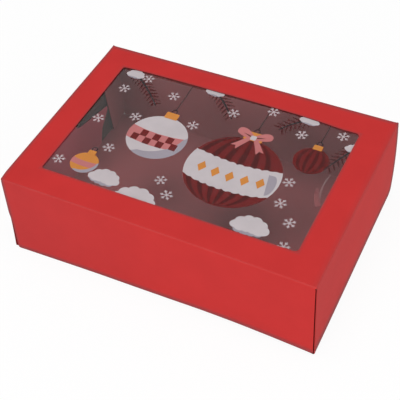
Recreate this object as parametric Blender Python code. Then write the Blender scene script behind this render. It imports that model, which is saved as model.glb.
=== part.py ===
"""Cookie box: a folding carton with a hinged lid, full-depth lid skirts and a film window.

Metres, +Z up. X runs along the long side, the front is at -Y and the box rests on z = 0.
The real box is one die-cut blank and one film. Each panel between two creases is an object here.
"""

import math

import bmesh
import bpy
from mathutils import Vector

# Outside size of the closed box
LENGTH = 0.230
WIDTH = 0.160
HEIGHT = 0.070

# Board, film and the clearances between panels
BOARD = 0.0005
FILM = 0.0002
FOLD_GAP = 0.0003
SIDE_PLAY = 0.0006
FRONT_PLAY = 0.0006

# Lid panel: window and film
WINDOW_SIDE_MARGIN = 0.021
WINDOW_FRONT_MARGIN = 0.021
WINDOW_BACK_MARGIN = 0.022
WINDOW_CORNER = 0.001
FILM_OVERLAP = 0.009
FILM_CORNER = 0.002

# Lid skirts and their corner tabs
SKIRT_LIFT = 0.0008
SKIRT_CORNER = 0.0015
SKIRT_REAR_CORNER = 0.005
TAB_REACH = 0.025
TAB_TAPER = 0.005
TAB_TOP_DROP = 0.002
TAB_CORNER = 0.006

# Tray walls and ears
FRONT_WALL_DROP = 0.0015
WALL_CORNER = 0.001
EAR_TOP_REACH = 0.028
EAR_BOTTOM_REACH = 0.022
EAR_CORNER = 0.002

# Roll-over inner walls: the front end, the foot, and the low rear part behind a sloping shoulder
INNER_FRONT_REACH = 0.054
INNER_BOTTOM_LENGTH = 0.080
INNER_TAPER_RISE = 0.024
INNER_TAPER_ROUND = 0.016
INNER_CORNER = 0.001
ROLL_REAR_PLACE = -0.006
SHOULDER_PLACE = 0.012
SHOULDER_HEIGHT = 0.040
SHOULDER_ROUND = 0.010
NOSE_REACH = 0.054
NOSE_TOP_HEIGHT = 0.0295
NOSE_DEPTH = 0.0035
NOSE_ROUND = 0.0012
WAIST_REACH = 0.043
WAIST_HEIGHT = 0.014
WAIST_ROUND = 0.012

# Lock tabs at the foot of each inner wall
LOCK_TAB_WIDTH = 0.016
LOCK_TAB_SPACING = 0.050
LOCK_TAB_SHORT = 0.0001

# Straight steps in each rounded corner
ARC_STEPS = 5

# Finishes: colour, roughness and metallic value
RED_BOARD = ("coated_red_board", (0.546, 0.034, 0.034, 1.0), 0.42, 0.0)
TRAY_BOARD = ("tray_board", (0.42, 0.06, 0.055, 1.0), 0.55, 0.0)
BARE_BACK = ("bare_back_board", (0.29, 0.072, 0.072, 1.0), 0.85, 0.0)
CLEAR_FILM = ("clear_film", (0.90, 0.92, 0.93, 0.25), 0.08, 0.0)

# Places that several panels share, from the outside in
HALF_LENGTH = LENGTH / 2
HALF_WIDTH = WIDTH / 2
LID_UNDER = HEIGHT - BOARD
UNDER_LID = LID_UNDER - FOLD_GAP
ON_FLOOR = BOARD + FOLD_GAP
SIDE_WALL_X = HALF_LENGTH - BOARD - SIDE_PLAY
EAR_X = SIDE_WALL_X - BOARD - FOLD_GAP
INNER_WALL_X = EAR_X - BOARD - FOLD_GAP
TAB_Y = -HALF_WIDTH + BOARD + FOLD_GAP
FRONT_WALL_Y = TAB_Y + BOARD + FRONT_PLAY
SIDE_WALL_TOP = UNDER_LID - BOARD - FOLD_GAP


def rounded(corners):
    """Outline through corners (u, v, radius), each radius made as a short arc."""
    points = []
    for i, (u, v, radius) in enumerate(corners):
        corner = Vector((u, v))
        if radius == 0:
            points.append(corner)
            continue
        before = (Vector(corners[i - 1][:2]) - corner).normalized()
        after = (Vector(corners[(i + 1) % len(corners)][:2]) - corner).normalized()
        half_angle = before.angle(after) / 2
        reach = radius / math.tan(half_angle)
        centre = corner + (before + after).normalized() * radius / math.sin(half_angle)
        start = corner + before * reach - centre
        end = corner + after * reach - centre
        for step in range(ARC_STEPS + 1):
            points.append(centre + start.lerp(end, step / ARC_STEPS).normalized() * radius)
    return points


def rectangle(low_u, high_u, low_v, high_v, radius=0.0):
    corners = [(low_u, low_v), (high_u, low_v), (high_u, high_v), (low_u, high_v)]
    return rounded([(u, v, radius) for u, v in corners])


def lying(u, v, w):
    """Panel in a level plane: u is x, v is y and the board's thickness w is along z."""
    return Vector((u, v, w))


def facing(u, v, w):
    """Panel in a front or back plane: u is x, v is z and the thickness is along y."""
    return Vector((u, w, v))


def flanking(u, v, w):
    """Panel in a side plane: u is y, v is z and the thickness is along x."""
    return Vector((w, u, v))


def finish(name, colour, roughness, metallic):
    """Principled material, made once and shared by the panels with that finish."""
    if name in bpy.data.materials:
        return bpy.data.materials[name]
    material = bpy.data.materials.new(name)
    material.use_nodes = True
    shader = material.node_tree.nodes["Principled BSDF"]
    shader.inputs["Base Color"].default_value = colour
    shader.inputs["Roughness"].default_value = roughness
    shader.inputs["Metallic"].default_value = metallic
    shader.inputs["Alpha"].default_value = colour[3]
    material.diffuse_color = colour
    return material


def panel(name, plane, loops, near, thickness, look, pivot=Vector((0, 0, 0))):
    """Flat panel: fills the outline loops at depth near and extrudes them by thickness."""
    bm = bmesh.new()
    for loop in loops:
        verts = [bm.verts.new(plane(u, v, near) - pivot) for u, v in loop]
        for first, second in zip(verts, verts[1:] + verts[:1]):
            bm.edges.new((first, second))
    bmesh.ops.triangle_fill(bm, edges=bm.edges[:], use_beauty=True)
    raised = bmesh.ops.extrude_face_region(bm, geom=bm.faces[:])["geom"]
    raised_verts = [part for part in raised if isinstance(part, bmesh.types.BMVert)]
    bmesh.ops.translate(bm, verts=raised_verts, vec=plane(0, 0, thickness))
    bmesh.ops.recalc_face_normals(bm, faces=bm.faces[:])
    mesh = bpy.data.meshes.new(name)
    bm.to_mesh(mesh)
    bm.free()
    mesh.materials.append(finish(*look))
    made = bpy.data.objects.new(name, mesh)
    made.location = pivot
    bpy.context.collection.objects.link(made)
    return made


def hang(child, parent):
    """Parents one panel to another while both still stand at world places, so the outermost come first."""
    child.location -= parent.location
    child.parent = parent


def inward(side, outer_x):
    """Near face and thickness of a side panel whose outer face is at outer_x on that side."""
    return (side * outer_x, -side * BOARD)


def lock_tab_places():
    return (-LOCK_TAB_SPACING / 2, LOCK_TAB_SPACING / 2)


def slot(side, middle):
    """Slot in the bottom for one lock tab, a fold gap wider than the tab all round."""
    outer = side * (INNER_WALL_X + FOLD_GAP)
    inner = side * (INNER_WALL_X - BOARD - FOLD_GAP)
    half = LOCK_TAB_WIDTH / 2 + FOLD_GAP
    return rectangle(min(outer, inner), max(outer, inner), middle - half, middle + half)


def make_bottom():
    floor = rectangle(-SIDE_WALL_X, SIDE_WALL_X, FRONT_WALL_Y, HALF_WIDTH)
    slots = [slot(side, middle) for side in (-1, 1) for middle in lock_tab_places()]
    panel("bottom_panel", lying, [floor] + slots, 0, BOARD, TRAY_BOARD)


def make_front_and_back_walls():
    front_top = UNDER_LID - FRONT_WALL_DROP
    front = rounded([
        (-EAR_X, ON_FLOOR, 0),
        (EAR_X, ON_FLOOR, 0),
        (EAR_X, front_top, WALL_CORNER),
        (-EAR_X, front_top, WALL_CORNER),
    ])
    panel("front_wall", facing, [front], FRONT_WALL_Y, BOARD, TRAY_BOARD)
    back = rectangle(-EAR_X, EAR_X, ON_FLOOR, UNDER_LID)
    panel("back_wall", facing, [back], HALF_WIDTH, -BOARD, TRAY_BOARD)


def make_ear(name, side, crease, direction):
    """Ear folded from the end of the front or back wall. Its free end slants in towards the bottom."""
    outline = rounded([
        (crease, ON_FLOOR, 0),
        (crease + direction * EAR_BOTTOM_REACH, ON_FLOOR, EAR_CORNER),
        (crease + direction * EAR_TOP_REACH, SIDE_WALL_TOP, EAR_CORNER),
        (crease, SIDE_WALL_TOP, 0),
    ])
    panel(name, flanking, [outline], *inward(side, EAR_X), BARE_BACK)


def inner_wall_outline():
    """Roll-over panel: its foot with the lock tabs, the rear nose and shoulder, then the front end."""
    half_bottom = INNER_BOTTOM_LENGTH / 2
    corners = [(-half_bottom, ON_FLOOR, INNER_CORNER)]
    for middle in lock_tab_places():
        corners += [
            (middle - LOCK_TAB_WIDTH / 2, ON_FLOOR, 0),
            (middle - LOCK_TAB_WIDTH / 2, LOCK_TAB_SHORT, 0),
            (middle + LOCK_TAB_WIDTH / 2, LOCK_TAB_SHORT, 0),
            (middle + LOCK_TAB_WIDTH / 2, ON_FLOOR, 0),
        ]
    corners += [
        (half_bottom, ON_FLOOR, INNER_CORNER),
        (WAIST_REACH, WAIST_HEIGHT, WAIST_ROUND),
        (NOSE_REACH, NOSE_TOP_HEIGHT - NOSE_DEPTH, NOSE_ROUND),
        (NOSE_REACH, NOSE_TOP_HEIGHT, NOSE_ROUND),
        (SHOULDER_PLACE, SHOULDER_HEIGHT, SHOULDER_ROUND),
        (ROLL_REAR_PLACE, SIDE_WALL_TOP, 0),
        (-INNER_FRONT_REACH, SIDE_WALL_TOP, 0),
        (-INNER_FRONT_REACH, ON_FLOOR + INNER_TAPER_RISE, INNER_TAPER_ROUND),
    ]
    return rounded(corners)


def make_side(hand, side):
    """One side of the tray: outer wall, two ears, roll-over strip and inner wall."""
    outer = rectangle(FRONT_WALL_Y, HALF_WIDTH, ON_FLOOR, SIDE_WALL_TOP)
    panel(hand + "_wall", flanking, [outer], *inward(side, SIDE_WALL_X), TRAY_BOARD)
    make_ear("front_" + hand + "_ear", side, FRONT_WALL_Y + BOARD + FOLD_GAP, 1)
    make_ear("back_" + hand + "_ear", side, HALF_WIDTH - BOARD - FOLD_GAP, -1)
    edges = sorted((side * SIDE_WALL_X, side * (INNER_WALL_X - BOARD)))
    strip = rectangle(*edges, -INNER_FRONT_REACH, ROLL_REAR_PLACE)
    panel(hand + "_roll_strip", lying, [strip], UNDER_LID, -BOARD, TRAY_BOARD)
    panel(hand + "_inner_wall", flanking, [inner_wall_outline()], *inward(side, INNER_WALL_X), BARE_BACK)


def make_lid_panel():
    """Frame of the lid, with its origin on the hinge crease along the back wall's top."""
    hinge = Vector((0, HALF_WIDTH, HEIGHT))
    outside = rectangle(-HALF_LENGTH, HALF_LENGTH, -HALF_WIDTH, HALF_WIDTH)
    window = rectangle(
        WINDOW_SIDE_MARGIN - HALF_LENGTH,
        HALF_LENGTH - WINDOW_SIDE_MARGIN,
        WINDOW_FRONT_MARGIN - HALF_WIDTH,
        HALF_WIDTH - WINDOW_BACK_MARGIN,
        WINDOW_CORNER,
    )
    return panel("lid_panel", lying, [outside, window], HEIGHT, -BOARD, RED_BOARD, hinge)


def make_film(hinge):
    """Clear film under the frame, wider than the window by the glued overlap."""
    sheet = rectangle(
        WINDOW_SIDE_MARGIN - FILM_OVERLAP - HALF_LENGTH,
        HALF_LENGTH - WINDOW_SIDE_MARGIN + FILM_OVERLAP,
        WINDOW_FRONT_MARGIN - FILM_OVERLAP - HALF_WIDTH,
        HALF_WIDTH - WINDOW_BACK_MARGIN + FILM_OVERLAP,
        FILM_CORNER,
    )
    return panel("window_film", lying, [sheet], UNDER_LID, -FILM, CLEAR_FILM, hinge)


def make_front_skirt():
    crease = Vector((0, -HALF_WIDTH, HEIGHT))
    outline = rounded([
        (-HALF_LENGTH, SKIRT_LIFT, SKIRT_CORNER),
        (HALF_LENGTH, SKIRT_LIFT, SKIRT_CORNER),
        (HALF_LENGTH, UNDER_LID, 0),
        (-HALF_LENGTH, UNDER_LID, 0),
    ])
    return panel("front_skirt", facing, [outline], -HALF_WIDTH, BOARD, RED_BOARD, crease)


def make_side_skirt(hand, side):
    """Side skirt, from behind the front skirt to its free rear edge."""
    crease = Vector((side * HALF_LENGTH, 0, HEIGHT))
    outline = rounded([
        (TAB_Y, SKIRT_LIFT, 0),
        (HALF_WIDTH, SKIRT_LIFT, SKIRT_REAR_CORNER),
        (HALF_WIDTH, UNDER_LID, 0),
        (TAB_Y, UNDER_LID, 0),
    ])
    return panel(hand + "_skirt", flanking, [outline], *inward(side, HALF_LENGTH), RED_BOARD, crease)


def make_corner_tab(hand, side, crease):
    """Tab folded from the side skirt's front edge, tucked between front skirt and front wall."""
    near_x = side * (HALF_LENGTH - BOARD - FOLD_GAP)
    far_x = side * (HALF_LENGTH - BOARD - FOLD_GAP - TAB_REACH)
    top = UNDER_LID - TAB_TOP_DROP
    outline = rounded([
        (near_x, SKIRT_LIFT, 0),
        (near_x, top, 0),
        (far_x, top - TAB_TAPER, TAB_CORNER),
        (far_x, SKIRT_LIFT + TAB_TAPER, TAB_CORNER),
    ])
    return panel(hand + "_corner_tab", facing, [outline], TAB_Y, BOARD, RED_BOARD, crease)


def make_lid():
    """Lid panel with its film, front skirt, side skirts and corner tabs."""
    lid = make_lid_panel()
    hang(make_film(lid.location.copy()), lid)
    for hand, side in (("left", -1), ("right", 1)):
        skirt = make_side_skirt(hand, side)
        hang(make_corner_tab(hand, side, skirt.location.copy()), skirt)
        hang(skirt, lid)
    hang(make_front_skirt(), lid)


def main():
    for old in list(bpy.data.objects):
        bpy.data.objects.remove(old)
    make_bottom()
    make_front_and_back_walls()
    make_side("left", -1)
    make_side("right", 1)
    make_lid()


main()
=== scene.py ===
import math

import bmesh
import bpy
from mathutils import Matrix, Vector


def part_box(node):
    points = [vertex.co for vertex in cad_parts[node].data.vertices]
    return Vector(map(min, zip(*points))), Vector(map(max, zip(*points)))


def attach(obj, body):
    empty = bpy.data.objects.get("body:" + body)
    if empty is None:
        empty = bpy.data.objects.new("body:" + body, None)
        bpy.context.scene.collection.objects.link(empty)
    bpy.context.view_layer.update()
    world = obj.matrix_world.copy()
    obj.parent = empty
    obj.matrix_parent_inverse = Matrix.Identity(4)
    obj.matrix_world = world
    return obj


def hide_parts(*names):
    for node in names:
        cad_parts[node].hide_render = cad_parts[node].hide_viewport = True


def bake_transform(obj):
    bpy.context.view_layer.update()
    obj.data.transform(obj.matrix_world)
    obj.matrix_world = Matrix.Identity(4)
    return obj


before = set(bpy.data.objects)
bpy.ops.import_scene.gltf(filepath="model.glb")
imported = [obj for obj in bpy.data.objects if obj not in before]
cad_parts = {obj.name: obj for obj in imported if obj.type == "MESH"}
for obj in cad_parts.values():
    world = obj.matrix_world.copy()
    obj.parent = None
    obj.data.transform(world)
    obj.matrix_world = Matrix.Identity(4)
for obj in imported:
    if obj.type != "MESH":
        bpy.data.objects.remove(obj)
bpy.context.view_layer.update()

# Bottom board: the middle panel of one die-cut blank of red card, which lies coated side down.
# Four slots beside the side walls take the lock tabs of the inner walls, and every wall is creased from it.
MM = 0.001
bottom_low, bottom_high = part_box("bottom_panel")
inner_low, inner_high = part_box("right_inner_wall")
BOARD = bottom_high.z - bottom_low.z
FOLD = 1.0 * MM
ROUND_STEPS = 6
CUT_REACH = 1e-7
LOCK_WIDTH = 16 * MM
LOCK_MIDDLES = (-25 * MM, 25 * MM)
SLOT_PLAY = 0.3 * MM
SHARP_ANGLE = math.radians(32)
ROUGHNESS_CHANGE = 0.1
# Colour of the painted shade that darkens the card near its edges, feet, folds and the window's rim.
PAINTED_SHADE_RED = (0.19, 0.062, 0.067)


def feed(tree, node, sockets):
    """Gives each input named in sockets its value, or a link from another node."""
    for key, value in sockets.items():
        if isinstance(value, bpy.types.NodeSocket):
            tree.links.new(value, node.inputs[key])
        else:
            node.inputs[key].default_value = value


def add(tree, kind, sockets=None, **settings):
    """Adds a node and feeds it."""
    made = tree.nodes.new(kind)
    for key, value in settings.items():
        setattr(made, key, value)
    feed(tree, made, sockets or {})
    return made


def make_surface_tone():
    """Group for paper and ink: a cloudy tone, bends turned paler (partly crease wear, partly a painted fold
    highlight), painted shade near edges, and a fine grain.
    """
    group = bpy.data.node_groups.new("surface_tone", "ShaderNodeTree")
    group.interface.new_socket("Place", in_out="INPUT", socket_type="NodeSocketVector")
    for name in ("Colour", "Crease Wear And Highlight Colour", "Painted Shade Colour"):
        group.interface.new_socket(name, in_out="INPUT", socket_type="NodeSocketColor")
    for name in ("Grain Scale", "Cloud Scale", "Tone Change", "Bend", "Painted Shade", "Roughness"):
        group.interface.new_socket(name, in_out="INPUT", socket_type="NodeSocketFloat")
    group.interface.new_socket("Colour", in_out="OUTPUT", socket_type="NodeSocketColor")
    for name in ("Roughness", "Height"):
        group.interface.new_socket(name, in_out="OUTPUT", socket_type="NodeSocketFloat")
    given = add(group, "NodeGroupInput").outputs
    cloud = add(group, "ShaderNodeTexNoise", {
        "Vector": given["Place"], "Scale": given["Cloud Scale"], "Detail": 4.0, "Roughness": 0.6})
    grain = add(group, "ShaderNodeTexNoise", {
        "Vector": given["Place"], "Scale": given["Grain Scale"], "Detail": 3.0, "Roughness": 0.65})
    darkest = add(group, "ShaderNodeMath", {0: 1.0, 1: given["Tone Change"]}, operation="SUBTRACT")
    lightest = add(group, "ShaderNodeMath", {0: 1.0, 1: given["Tone Change"]}, operation="ADD")
    tone = add(group, "ShaderNodeMapRange", {
        "Value": cloud.outputs["Fac"], "From Min": 0.3, "From Max": 0.7,
        "To Min": darkest.outputs[0], "To Max": lightest.outputs[0]})
    toned = add(group, "ShaderNodeHueSaturation", {
        "Color": given["Colour"], "Value": tone.outputs["Result"]})
    # Bends turn to the paler tone: partly crease wear, partly a painted fold highlight.
    crease_wear_and_highlight = add(group, "ShaderNodeMath", {0: given["Bend"], 1: cloud.outputs["Fac"]}, operation="MULTIPLY")
    colour = add(group, "ShaderNodeMix", {
        0: crease_wear_and_highlight.outputs[0], 6: toned.outputs["Color"], 7: given["Crease Wear And Highlight Colour"]}, data_type="RGBA")
    # Mixes in painted shade where the card's shade attribute is set.
    shade_colour = add(group, "ShaderNodeMix", {
        0: given["Painted Shade"], 6: colour.outputs[2], 7: given["Painted Shade Colour"]}, data_type="RGBA")
    uneven = add(group, "ShaderNodeMath", {0: grain.outputs["Fac"], 1: 0.5}, operation="SUBTRACT")
    rough = add(group, "ShaderNodeMath", {
        0: uneven.outputs[0], 1: ROUGHNESS_CHANGE, 2: given["Roughness"]}, operation="MULTIPLY_ADD")
    add(group, "NodeGroupOutput", {
        "Colour": shade_colour.outputs[2], "Roughness": rough.outputs[0], "Height": grain.outputs["Fac"]})
    return group


surface_tone = make_surface_tone()


def new_material(name):
    made = bpy.data.materials.new(name)
    made.use_nodes = True
    return made, made.node_tree, made.node_tree.nodes["Principled BSDF"]


def toned_material(name, colour, crease_wear_and_highlight, roughness, relief, grain=900.0, cloud=26.0, change=0.04,
                   shade_colour=PAINTED_SHADE_RED, specular=0.5, ior=1.5, alpha=1.0):
    """Principled material on the shared surface tone, with relief as the depth of its grain in metres. Its
    shade colour is the colour of painted shade.
    """
    made, tree, shader = new_material(name)
    place = add(tree, "ShaderNodeTexCoord")
    bend = add(tree, "ShaderNodeAttribute", attribute_name="bend")
    # Attribute that carries the share of painted shade.
    painted_shade = add(tree, "ShaderNodeAttribute", attribute_name="painted_shade")
    tone = add(tree, "ShaderNodeGroup", {
        "Place": place.outputs["Object"], "Bend": bend.outputs["Fac"], "Painted Shade": painted_shade.outputs["Fac"],
        "Colour": (*colour, 1.0), "Crease Wear And Highlight Colour": (*crease_wear_and_highlight, 1.0), "Painted Shade Colour": (*shade_colour, 1.0),
        "Roughness": roughness, "Grain Scale": grain, "Cloud Scale": cloud, "Tone Change": change,
    }, node_tree=surface_tone)
    bump = add(tree, "ShaderNodeBump", {
        "Height": tone.outputs["Height"], "Strength": 0.6, "Distance": relief})
    feed(tree, shader, {
        "Base Color": tone.outputs["Colour"], "Roughness": tone.outputs["Roughness"],
        "Normal": bump.outputs["Normal"], "Specular IOR Level": specular, "IOR": ior, "Alpha": alpha})
    return made


coated_red = toned_material(
    "coated_red_card", (0.54, 0.034, 0.033), (0.49, 0.060, 0.057), 0.60, 0.02 * MM, specular=0.035)
bare_side = toned_material(
    "bare_side_of_card", (0.37, 0.090, 0.095), (0.39, 0.10, 0.10), 0.85, 0.05 * MM,
    grain=650.0, change=0.07, specular=0.2)
cut_edge = toned_material(
    "cut_edge_of_card", (0.27, 0.030, 0.027), (0.30, 0.04, 0.035), 0.9, 0.06 * MM,
    grain=1800.0, change=0.15, specular=0.05)
CARD_FINISH = (coated_red, bare_side, cut_edge)


def rounded(corners):
    """Outline through corners (a, s, radius), with each radius as a short arc."""
    points = []
    for i, (a, s, radius) in enumerate(corners):
        corner = Vector((a, s))
        if radius == 0:
            points.append(corner)
            continue
        before = (Vector(corners[i - 1][:2]) - corner).normalized()
        after = (Vector(corners[(i + 1) % len(corners)][:2]) - corner).normalized()
        half_angle = before.angle(after) / 2
        reach = radius / math.tan(half_angle)
        centre = corner + (before + after).normalized() * radius / math.sin(half_angle)
        start = corner + before * reach - centre
        end = corner + after * reach - centre
        for step in range(ROUND_STEPS + 1):
            points.append(centre + start.lerp(end, step / ROUND_STEPS).normalized() * radius)
    return points


def rectangle(low_a, high_a, low_s, high_s, radius=0.0):
    corners = [(low_a, low_s), (high_a, low_s), (high_a, high_s), (low_a, high_s)]
    return rounded([(a, s, radius) for a, s in corners])


def on_card(corner, along, travel, outward, bends=()):
    """Place on a folded card: a runs along the creases and s across them, over the coated side.

    Each bend is (where it starts, its radius) and turns a right angle away from the coated side.
    A place is the point, the coated side's direction, and how deep in a bend it lies.
    """
    def place(a, s):
        point = Vector(corner) + Vector(along) * a
        ahead = Vector(travel)
        normal = Vector(outward)
        bent = 0.0
        here = 0.0
        for start, radius in bends:
            if s <= start:
                break
            point = point + ahead * (start - here)
            turn = min((s - start) / radius, math.pi / 2)
            centre = point - normal * radius
            turned = normal * math.cos(turn) + ahead * math.sin(turn)
            ahead = ahead * math.cos(turn) - normal * math.sin(turn)
            normal = turned
            point = centre + normal * radius
            bent = math.sin(2 * turn)
            here = start + radius * turn
        return point + ahead * (s - here), normal, bent
    return place


def new_object(name, data):
    made = bpy.data.objects.new(name, data)
    bpy.context.collection.objects.link(made)
    return made


def card(name, panels, place, across=(), along=(), lie=None, thick=BOARD, finish=CARD_FINISH, painted_shade=None):
    """Sheet pieces cut to flat outlines, creased on lines and folded up.

    Each panel is a list of loops, its outline first and then its holes. The sheet is cut at s in across
    and at a in along, where it bends or bows, and lie gives how far a point lies off its true place.
    The share of painted shade at (a, s) darkens the card there towards its shade colour.
    """
    bm = bmesh.new()
    for loops in panels:
        edges = []
        for loop in loops:
            corners = [bm.verts.new((a, s, 0)) for a, s in loop]
            edges += [bm.edges.new(pair) for pair in zip(corners, corners[1:] + corners[:1])]
        bmesh.ops.triangle_fill(bm, edges=edges, use_beauty=True)
    for spot, facing in [((0, s, 0), (0, 1, 0)) for s in across] + [((a, 0, 0), (1, 0, 0)) for a in along]:
        whole = bm.verts[:] + bm.edges[:] + bm.faces[:]
        bmesh.ops.bisect_plane(bm, geom=whole, dist=CUT_REACH, plane_co=spot, plane_no=facing)
    copied = bmesh.ops.extrude_face_region(bm, geom=bm.faces[:])["geom"]
    for part in copied:
        if isinstance(part, bmesh.types.BMVert):
            part.co.z = -1
    bend_layer = bm.verts.layers.float.new("bend")
    shade_layer = bm.verts.layers.float.new("painted_shade")
    for face in bm.faces:
        depths = {round(vert.co.z) for vert in face.verts}
        face.material_index = 2 if len(depths) == 2 else -min(depths)
        face.smooth = True
    for vert in bm.verts:
        point, normal, bent = place(vert.co.x, vert.co.y)
        vert[bend_layer] = bent
        vert[shade_layer] = painted_shade(vert.co.x, vert.co.y) if painted_shade else 0.0
        vert.co = point + normal * thick * vert.co.z + (lie(point) if lie else Vector())
    bmesh.ops.recalc_face_normals(bm, faces=bm.faces[:])
    mesh = bpy.data.meshes.new(name)
    bm.to_mesh(mesh)
    bm.free()
    for material in finish:
        mesh.materials.append(material)
    mesh.set_sharp_from_angle(angle=SHARP_ANGLE)
    return new_object(name, mesh)


def fit(piece, body, finish_slot, *nodes):
    """The piece moves with its body and stands for its solids."""
    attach(piece, body)
    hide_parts(*nodes)


front_low, front_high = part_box("front_wall")
FRONT_FACE = front_low.y
BACK_FACE = bottom_high.y
SIDE_FACE = bottom_high.x
bottom_loops = [rectangle(FOLD - SIDE_FACE, SIDE_FACE - FOLD, FRONT_FACE + FOLD, BACK_FACE - FOLD)]
for side in (-1, 1):
    slot_ends = sorted((side * (inner_low.x - SLOT_PLAY), side * (inner_high.x + SLOT_PLAY)))
    for middle in LOCK_MIDDLES:
        reach = LOCK_WIDTH / 2 + SLOT_PLAY
        bottom_loops.append(rectangle(*slot_ends, middle - reach, middle + reach))
bottom = card("bottom_card", [bottom_loops], on_card((0, 0, 0), (1, 0, 0), (0, 1, 0), (0, 0, -1)))
fit(bottom, "tray", "tray_board", "bottom_panel")

# Front and back walls: panels of the same blank, creased up from the bottom board, coated side out.
# The back wall carries the lid on its top crease and bows out a little, as free card does.
lid_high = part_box("lid_panel")[1]
END_FACE = front_high.x
FOLD_RUN = FOLD * math.pi / 2
ONE_CREASE = ((0.0, FOLD),)
BEND_STEPS = 6
BACK_BOW = 0.4 * MM


def steps(low, high, count):
    return [low + (high - low) * i / count for i in range(count + 1)]


def bend_cuts(bends):
    return [s for start, radius in bends for s in steps(start, start + radius * math.pi / 2, BEND_STEPS)]


def risen(z):
    """Distance over the coated side from the bottom board's crease up to height z."""
    return FOLD_RUN + z - FOLD


def back_lie(point):
    across = 1 - (point.x / END_FACE) ** 2
    return Vector((0, BACK_BOW * across * math.sin(math.pi * max(0.0, point.z - FOLD) / lid_high.z), 0))


wall_end = END_FACE - FOLD
crease_cuts = bend_cuts(ONE_CREASE)
back_columns = steps(-wall_end, wall_end, 14)[1:-1]
front_wall = card(
    "front_wall_card", [[rectangle(-wall_end, wall_end, 0, risen(front_high.z))]],
    on_card((0, FRONT_FACE + FOLD, 0), (1, 0, 0), (0, -1, 0), (0, 0, -1), ONE_CREASE),
    across=crease_cuts)
fit(front_wall, "tray", "tray_board", "front_wall")
hinge_start = lid_high.z - FOLD
back_wall = card(
    "back_wall_card", [[rectangle(-wall_end, wall_end, 0, risen(hinge_start))]],
    on_card((0, BACK_FACE - FOLD, 0), (1, 0, 0), (0, 1, 0), (0, 0, -1), ONE_CREASE),
    across=crease_cuts + steps(risen(FOLD), risen(hinge_start), 10)[1:-1],
    along=back_columns, lie=back_lie)
fit(back_wall, "tray", "tray_board", "back_wall")

# Four ears: flaps creased round from the ends of the front and back walls, inside the outer side walls.
# The rolled inner walls hold the front ones flat. The back ones are free, and spring in at the foot.
HANDS = (("left", -1), ("right", 1))
EAR_TOP = 28 * MM
EAR_FOOT = 22 * MM
EAR_LEAN = 4.5 * MM
EAR_CURL = 1.5
EAR_CORNER = 2 * MM
CREASE_GAP = 0.3 * MM
ear_crease = FOLD_RUN + BOARD + CREASE_GAP - FOLD
ear_low, ear_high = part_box("front_left_ear")
EAR_ENDS = (("front", FRONT_FACE, front_high.z, -1), ("back", BACK_FACE, hinge_start, 1))
for hand, side in HANDS:
    def ear_lie(point):
        """The back ears stand off the wall more and more towards the lower free corner."""
        out = max(0.0, (BACK_FACE - FOLD - point.y) / EAR_TOP) * (point.y > 0)
        return Vector((-side * EAR_LEAN * out ** EAR_CURL * (1 - point.z / ear_high.z), 0, 0))

    for end, face, wall_top, turn in EAR_ENDS:
        wall_top = min(wall_top, ear_high.z)
        outline = rounded([
            (ear_low.z, 0, 0), (ear_low.z, ear_crease + EAR_FOOT, EAR_CORNER),
            (ear_high.z, ear_crease + EAR_TOP, EAR_CORNER), (ear_high.z, FOLD_RUN, 0),
            (wall_top, FOLD_RUN / 2, 0), (wall_top, 0, 0)])
        ear = card(
            end + "_" + hand + "_ear_card", [[outline]],
            on_card((side * wall_end, face, 0), (0, 0, 1), (side, 0, 0), (0, turn, 0), ONE_CREASE),
            across=crease_cuts + steps(FOLD_RUN, EAR_TOP, 6)[1:],
            along=steps(ear_low.z, ear_high.z, 6)[1:-1], lie=ear_lie)
        fit(ear, "tray", "tray_board", end + "_" + hand + "_ear")

# Side walls: an outer panel creased up from the bottom, and a narrow strip rolled over its front part to
# an inner panel, coated side showing. Two lock tabs hold the inner panel's foot, and its rear part is cut
# low behind a sloping shoulder, so that the outer panel shows past it, its inner face painted dark as
# shade.
INNER_ROUND = 16 * MM
INNER_RISE = 24 * MM
INNER_FOOT = 80 * MM
INNER_CORNER = 1 * MM
INNER_BOW = 0.7 * MM
SHOULDER_AT = 12 * MM
SHOULDER_Z = 40 * MM
SHOULDER_ROUND = 10 * MM
NOSE_TOP_Z = 29.5 * MM
NOSE_FOOT_Z = 26 * MM
NOSE_ROUND = 1.2 * MM
WAIST_AT = 43 * MM
WAIST_Z = 14 * MM
WAIST_ROUND = 12 * MM
LOCK_SHORT = 0.1 * MM
strip_low, strip_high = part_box("right_roll_strip")
roll_start = strip_high.z - FOLD
strip_bends = ((0.0, FOLD), (FOLD_RUN + strip_high.x - strip_low.x - 2 * FOLD, FOLD))
# The outer panels' inner face is painted darker than the bare side, as painted shade in the deep gap.
shaded_side = toned_material(
    "back_of_card_painted_shade", (0.11, 0.062, 0.052), (0.13, 0.07, 0.06), 0.9, 0.05 * MM,
    grain=650.0, change=0.07, specular=0.15)
dulled_red = toned_material(
    "dulled_red_card", (0.60, 0.115, 0.150), (0.63, 0.14, 0.17), 0.7, 0.03 * MM,
    grain=800.0, change=0.06, specular=0.15)


def inner_outline():
    """Inner panel: a runs along Y and s down from the rolled strip."""
    half_foot = INNER_FOOT / 2
    foot = roll_start - ear_low.z
    corners = [
        (inner_low.y, 0, 0), (strip_high.y, 0, 0),
        (SHOULDER_AT, roll_start - SHOULDER_Z, SHOULDER_ROUND),
        (inner_high.y, roll_start - NOSE_TOP_Z, NOSE_ROUND),
        (inner_high.y, roll_start - NOSE_FOOT_Z, NOSE_ROUND),
        (WAIST_AT, roll_start - WAIST_Z, WAIST_ROUND),
        (half_foot, foot, INNER_CORNER),
    ]
    for middle in reversed(LOCK_MIDDLES):
        near, far = middle + LOCK_WIDTH / 2, middle - LOCK_WIDTH / 2
        corners += [(near, foot, 0), (near, roll_start - LOCK_SHORT, 0)]
        corners += [(far, roll_start - LOCK_SHORT, 0), (far, foot, 0)]
    corners += [(-half_foot, foot, INNER_CORNER), (inner_low.y, foot - INNER_RISE, INNER_ROUND)]
    return rounded(corners)


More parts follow.
